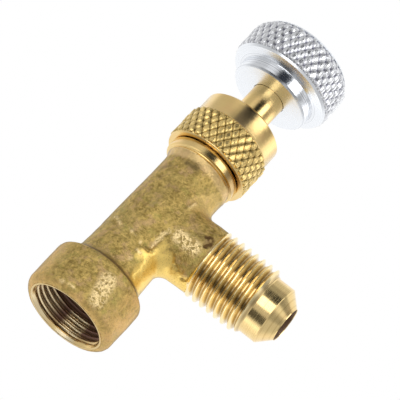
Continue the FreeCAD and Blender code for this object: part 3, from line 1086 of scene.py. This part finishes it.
def outlet_fitting(sizes):
    """Threaded outlet with its neck, flare nose and bore, as one closed solid laid along X."""
    crest = sizes.outlet_major_radius / MM
    depth = sizes.thread_depth / MM
    foot, top = THREAD_START, NECK_START

    def radius_at(phase, x):
        run_in = np.clip((x - foot) / 0.8, 0, 1)
        cut = crest - thread_form(phase, depth, crest=0.05, root=0.08) * run_in
        return np.minimum.reduce([cut, 5.2 + (x - foot), 4.7 + (top - x) * 0.95])

    rest = [
        (5.2, foot), (5.0, 9.3), (2.9, 9.1), (2.9, 2.7), (2.55, 2.7), (2.55, 23.6), (2.72, 24.05),
        (2.76, OUTLET_TIP), (2.82, NOSE), (4.7, NECK_END), (4.7, top),
    ]
    rest = arc_corners(rest, {8: 0.03, 9: 0.12})
    points, faces = threaded(radius_at, sizes.thread_pitch / MM, foot, top, rest, 112, start=-0.55)
    return np.stack([points[:, 2], -points[:, 1], points[:, 0] + TEE], axis=1), faces


def paint(node, name):
    """Give a CAD node one of the finishes."""
    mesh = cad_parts[node].data
    mesh.materials.clear()
    mesh.materials.append(finish(name))


class MakeBody(bpy.types.Operator):
    """Make the cast body with its machined ring, inlet and outlet"""

    bl_idname = "can_tap.make_body"
    bl_label = "Valve Body"

    def execute(self, context):
        sizes = context.scene.can_tap_body
        low, high = (-8.0, -8.0, -0.5), (10.6, 8.0, 31.2)
        points, faces = skin(casting_field(sizes), low, high, sizes.skin_step / MM)
        points[:, 2] = np.maximum(points[:, 2], CASTING_FOOT / 2)
        casting = piece("casting", points, faces, "cast_brass", 60)
        places = np.array([v.co[:] for v in casting.data.vertices]).T / MM
        for name, values in casting_looks(*places).items():
            keep_values(casting, name, values)
        inlet = piece("inlet_thread", *inlet_fitting(sizes), "inlet_brass")
        outlet = piece("outlet_thread", *outlet_fitting(sizes), "outlet_brass")
        outline = [
            (3.6, 27.55), (4.5, 27.55), (4.5, 30.33), (5.3, 30.36), (5.42, 30.44), (5.36, 30.52),
            (5.5, 30.58), (5.54, 30.68), (5.75, RING_FOOT), (5.88, RING_FOOT + 0.1), (5.88, RING_TOP),
            (4.95, RING_TOP), (4.95, SPIGOT_TOP), (3.6, SPIGOT_TOP),
        ]
        ring = piece("spigot_ring", *revolved(arc_corners(outline, {10: 0.1, 12: 0.25})), "spindle_brass")
        for made in (casting, inlet, outlet, ring):
            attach(made, "root")
        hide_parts("valve_body")
        for made in (inlet, outlet, ring):
            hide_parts("valve_body")
        return {"FINISHED"}


class MakeNut(bpy.types.Operator):
    """Make the knurled gland nut"""

    bl_idname = "can_tap.make_nut"
    bl_label = "Gland Nut"

    def execute(self, context):
        outline = [
            (5.05, NUT_FOOT), (6.6, NUT_FOOT), (6.72, NUT_FOOT + 0.14), (6.74, 32.45), (6.4, 32.6),
            (6.4, 37.6), (6.55, 37.75), (6.42, 38.05), (6.4, 41.0), (6.0, NUT_TOP), (2.75, NUT_TOP),
            (2.75, 38.85), (4.5, 38.85), (4.5, 37.05), (5.05, 37.05),
        ]
        core = piece("gland_nut_core", *revolved(arc_corners(outline, {8: 0.05, 9: 0.1})), "spindle_brass")
        band = knurled_band(
            "gland_nut_knurl", "knurled_brass", context.scene.can_tap_nut, inner=6.2,
            edges=[(32.5, 0.24), (32.75, 0.0), (37.55, 0.0), (37.8, 0.27)],
            flat=0.45, saddle=0.25, wobble=0.3, seed=4,
        )
        for made, name in ((core, "turned_brass"), (band, "knurled_brass")):
            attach(made, "root")
            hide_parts("gland_nut")
        return {"FINISHED"}


class MakeKnob(bpy.types.Operator):
    """Make the knurled aluminium knob and its screw"""

    bl_idname = "can_tap.make_knob"
    bl_label = "Knob"

    def execute(self, context):
        sizes = context.scene.can_tap_knob
        boss = sizes.boss_radius / MM
        outline = [
            (2.05, KNOB_FACE + 0.2), (2.66, KNOB_FACE + 0.2), (2.74, KNOB_FACE), (boss - 0.3, KNOB_FACE),
            (boss, KNOB_FACE + 0.3), (boss, 49.42), (7.5, 49.7), (7.96, 49.84), (8.16, 50.2), (7.6, 50.35),
            (7.6, 54.75), (7.1, 55.75), (7.54, 55.85), (7.35, 56.13), (7.2, KNOB_TOP), (3.0, KNOB_TOP),
            (2.85, 56.1), (2.85, SCREW_SEAT), (1.6, SCREW_SEAT), (1.6, DRIVE_TOP + 0.05),
            (2.05, DRIVE_TOP + 0.05),
        ]
        core = piece("knob_core", *revolved(arc_corners(outline, {5: 0.12}), 128), "knob_aluminium")
        band = knurled_band(
            "knob_knurl", "knurled_aluminium", sizes, inner=7.2,
            edges=[(50.24, 0.22), (50.44, 0.0), (54.75, 0.0), (55.0, 0.2), (55.85, 0.84)],
            flat=0.4, saddle=0.35, wobble=0.25, seed=8,
        )
        for made in (core, band):
            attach(made, "spindle")
            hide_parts("knob")
        paint("knob_screw", "screw_steel")
        return {"FINISHED"}


class MakeStem(bpy.types.Operator):
    """Make the stem and finish the pin, gasket and gland packing"""

    bl_idname = "can_tap.make_stem"
    bl_label = "Stem and Seals"

    def execute(self, context):
        sizes = context.scene.can_tap_stem
        shank = sizes.shank_radius / MM
        crest = sizes.thread_radius / MM
        end = crest - 0.75
        foot, top = 30.25, 35.85

        def radius_at(phase, z):
            cut = crest - thread_form(phase, 0.6, crest=0.08, root=0.1)
            return np.minimum(cut, end + np.minimum(z - foot, top - z))

        rest = [
            (end, foot), (1.75, 29.95), (1.75, 14.15), (1.55, 13.95), (1.0, 13.95), (1.0, 16.95),
            (0.0, 16.95), (0.0, KNOB_FACE), (shank, KNOB_FACE), (shank, top + 0.1), (end, top),
        ]
        pitch = sizes.thread_pitch / MM
        stem = piece("stem_rod", *threaded(radius_at, pitch, foot, top, rest), "spindle_brass")
        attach(stem, "spindle")
        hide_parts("stem")
        paint("core_depressor", "spindle_brass")
        paint("inlet_gasket", "seal_rubber")
        paint("stem_seal", "seal_rubber")
        paint("gland_washer", "spindle_brass")
        return {"FINISHED"}


# Stage

CAMERA_RIGHT = Vector((0.7756, -0.1610, 0.6107))
CAMERA_UP = Vector((-0.6103, -0.4387, 0.6595))
CAMERA_BACK = Vector((0.1616, -0.8842, -0.4384))
AIM = Vector((3.266, -2.374, 26.341)) * MM
CAMERA_DISTANCE = 0.7
FOCAL_PIXELS = 4900
PICTURE_PIXELS = 400
SENSOR_WIDTH = 36.0

# Brightness of the studio that metal reflects, what is added behind the tap, and the light on matt surfaces
STUDIO_LEVEL = 0.64
BEHIND_TAP = 0.42
MATT_LEVEL = 0.6

# Bright and dark places of the studio that metal reflects: direction to the right, up and back of the camera,
# cosines where the place starts and is full, and its change of brightness
STUDIO_PATCHES = (
    ((-0.36, -0.92, 0.12), 0.88, 0.97, 0.9),
    ((-0.02, 0.94, 0.33), 0.965, 0.99, 0.3),
    ((0.90, -0.38, 0.22), 0.96, 0.99, 0.5),
    ((0.47, 0.65, 0.61), 0.93, 0.972, -0.96),
    ((0.46, 0.87, 0.16), 0.92, 0.98, -0.4),
    ((0.985, -0.08, 0.12), 0.98, 0.995, -0.5),
    ((0.99, -0.03, -0.16), 0.985, 0.997, -0.4),
    ((0.74, -0.59, 0.32), 0.96, 0.99, -0.4),
    ((-0.61, -0.32, 0.72), 0.93, 0.975, -0.85),
    ((-0.80, 0.10, 0.60), 0.92, 0.975, -0.45),
    ((-0.05, -0.70, 0.70), 0.92, 0.975, -0.45),
    ((-0.76, -0.64, 0.05), 0.9, 0.97, 0.3),
    ((-0.82, -0.50, 0.28), 0.94, 0.985, 0.75),
)


def seen_from(right, up, back):
    """Direction in the model's axes from one given in the photograph's axes."""
    return (CAMERA_RIGHT * right + CAMERA_UP * up + CAMERA_BACK * back).normalized()


def soft_box(name, direction, width, height, strength, distance):
    """Oblong soft lamp that looks at the tap. strength is what a mirror shows of it, where 1 is white."""
    lamp = bpy.data.lights.new(name, "AREA")
    lamp.shape = "RECTANGLE"
    lamp.size = width * MM
    lamp.size_y = height * MM
    lamp.energy = strength * math.pi * lamp.size * lamp.size_y
    made = bpy.data.objects.new(name, lamp)
    bpy.context.scene.collection.objects.link(made)
    made.location = AIM + direction * distance
    made.rotation_euler = direction.to_track_quat("Z", "Y").to_euler()


def studio_world():
    """White background, grey light on matt surfaces, and a studio with dark gaps for metal to reflect."""
    world = bpy.data.worlds.new("studio")
    bpy.context.scene.world = world
    world.use_nodes = True
    world.node_tree.nodes.clear()
    w = Wiring(world.node_tree)
    heading = w.wire("ShaderNodeTexCoord", output="Generated")

    def towards(direction, start, full):
        dot = w.wire("ShaderNodeVectorMath", {0: heading, 1: direction[:]}, "Value", operation="DOT_PRODUCT")
        return smooth(w, dot, start, full)

    behind = towards(-CAMERA_BACK, -0.05, 0.5) * (1.0 - towards(seen_from(0.12, 0.95, -0.28), 0.72, 0.88))
    level = behind * BEHIND_TAP + STUDIO_LEVEL
    for direction, start, full, change in STUDIO_PATCHES:
        level = level * (towards(seen_from(*direction), start, full) * change + 1.0)
    bluish = towards(seen_from(0.49, 0.635, 0.61), 0.952, 0.982)
    tint = blend(w, bluish, (1, 1, 1), (0.8, 0.97, 1.3))
    shiny = w.node("ShaderNodeBackground", {"Color": tint, "Strength": level})
    plain = w.node("ShaderNodeBackground", {"Color": (1, 1, 1), "Strength": MATT_LEVEL})
    white = w.node("ShaderNodeBackground", {"Color": (1, 1, 1), "Strength": 1.0})
    kinds = ("Is Glossy Ray", "Is Camera Ray", "Is Transmission Ray")
    glossy, camera, transmission = (w.wire("ShaderNodeLightPath", output=kind) for kind in kinds)
    lit = w.node("ShaderNodeMixShader", {0: glossy, 1: plain, 2: shiny})
    shown = w.node("ShaderNodeMixShader", {0: w.calc("MAXIMUM", camera, transmission), 1: lit, 2: white})
    w.node("ShaderNodeOutputWorld", {"Surface": shown})


def pale_floor(sizes):
    """Square floor at the tap's foot, clear where the camera looks at it from below."""
    half = sizes.floor_width / 2
    mesh = bpy.data.meshes.new("floor")
    corners = [(-half, -half, 0), (half, -half, 0), (half, half, 0), (-half, half, 0)]
    mesh.from_pydata(corners, [], [(0, 1, 2, 3)])
    floor = bpy.data.objects.new("floor", mesh)
    bpy.context.scene.collection.objects.link(floor)
    pale = bpy.data.materials.new("pale_floor")
    pale.use_nodes = True
    pale.node_tree.nodes.clear()
    w = Wiring(pale.node_tree)
    top = w.node("ShaderNodeBsdfDiffuse", {"Color": sizes.floor_colour})
    clear = w.node("ShaderNodeBsdfTransparent")
    under = w.wire("ShaderNodeNewGeometry", output="Backfacing")
    unseen = under * w.wire("ShaderNodeLightPath", output="Is Camera Ray")
    both = w.node("ShaderNodeMixShader", {0: unseen, 1: top, 2: clear})
    w.node("ShaderNodeOutputMaterial", {"Surface": both})
    mesh.materials.append(pale)
    floor.visible_glossy = False
    floor.visible_shadow = False
    floor.visible_diffuse = False
    return floor


class MakeStage(bpy.types.Operator):
    """Make the floor, the soft lamps, the studio behind them and the camera"""

    bl_idname = "can_tap.make_stage"
    bl_label = "Stage"

    def execute(self, context):
        sizes = context.scene.can_tap_stage
        floor = pale_floor(sizes)
        far = sizes.lamp_distance
        soft_box("lamp_front", seen_from(-0.09, 0.41, 0.91), 300, 280, 1.8, far)
        soft_box("lamp_right", seen_from(0.84, 0.21, 0.49), 225, 320, 1.9, far)
        soft_box("lamp_edge", seen_from(0.80, -0.40, -0.45), 280, 280, 0.6, far)
        studio_world()
        lens = bpy.data.cameras.new("camera")
        lens.sensor_width = SENSOR_WIDTH
        lens.lens = SENSOR_WIDTH * FOCAL_PIXELS / PICTURE_PIXELS
        lens.clip_start = 0.01
        lens.clip_end = 10.0
        camera = bpy.data.objects.new("camera", lens)
        context.scene.collection.objects.link(camera)
        turn = Matrix((CAMERA_RIGHT, CAMERA_UP, CAMERA_BACK)).transposed()
        camera.matrix_world = Matrix.Translation(AIM + CAMERA_BACK * CAMERA_DISTANCE) @ turn.to_4x4()
        context.scene.camera = camera
        context.scene.view_settings.view_transform = "Standard"
        return {"FINISHED"}


class CanTapPanel(bpy.types.Panel):
    """Sizes, finishes and the makers of the can tap's pieces"""

    bl_idname = "VIEW3D_PT_can_tap"
    bl_label = "Refrigerant Can Tap"
    bl_space_type = "VIEW_3D"
    bl_region_type = "UI"
    bl_category = "Can Tap"

    def draw(self, context):
        for group, (sizes, operator) in GROUPS.items():
            box = self.layout.box()
            if operator:
                box.operator(operator.bl_idname)
            for name in sizes.__annotations__:
                box.prop(getattr(context.scene, group), name)


GROUPS = {
    "can_tap_body": (BodySizes, MakeBody),
    "can_tap_nut": (NutSizes, MakeNut),
    "can_tap_stem": (StemSizes, MakeStem),
    "can_tap_knob": (KnobSizes, MakeKnob),
    "can_tap_stage": (StageSizes, MakeStage),
    "can_tap_finishes": (Finishes, None),
}


def register():
    for group, (sizes, operator) in GROUPS.items():
        bpy.utils.register_class(sizes)
        setattr(bpy.types.Scene, group, bpy.props.PointerProperty(type=sizes))
        if operator:
            bpy.utils.register_class(operator)
    bpy.utils.register_class(CanTapPanel)


def unregister():
    bpy.utils.unregister_class(CanTapPanel)
    for group, (sizes, operator) in GROUPS.items():
        if operator:
            bpy.utils.unregister_class(operator)
        delattr(bpy.types.Scene, group)
        bpy.utils.unregister_class(sizes)


def main():
    register()
    bpy.ops.can_tap.make_stage()
    bpy.ops.can_tap.make_body()
    bpy.ops.can_tap.make_nut()
    bpy.ops.can_tap.make_stem()
    bpy.ops.can_tap.make_knob()


def plain(box):
    return [[float(value) for value in corner] for corner in box]


if __name__ == "__main__":
    main()
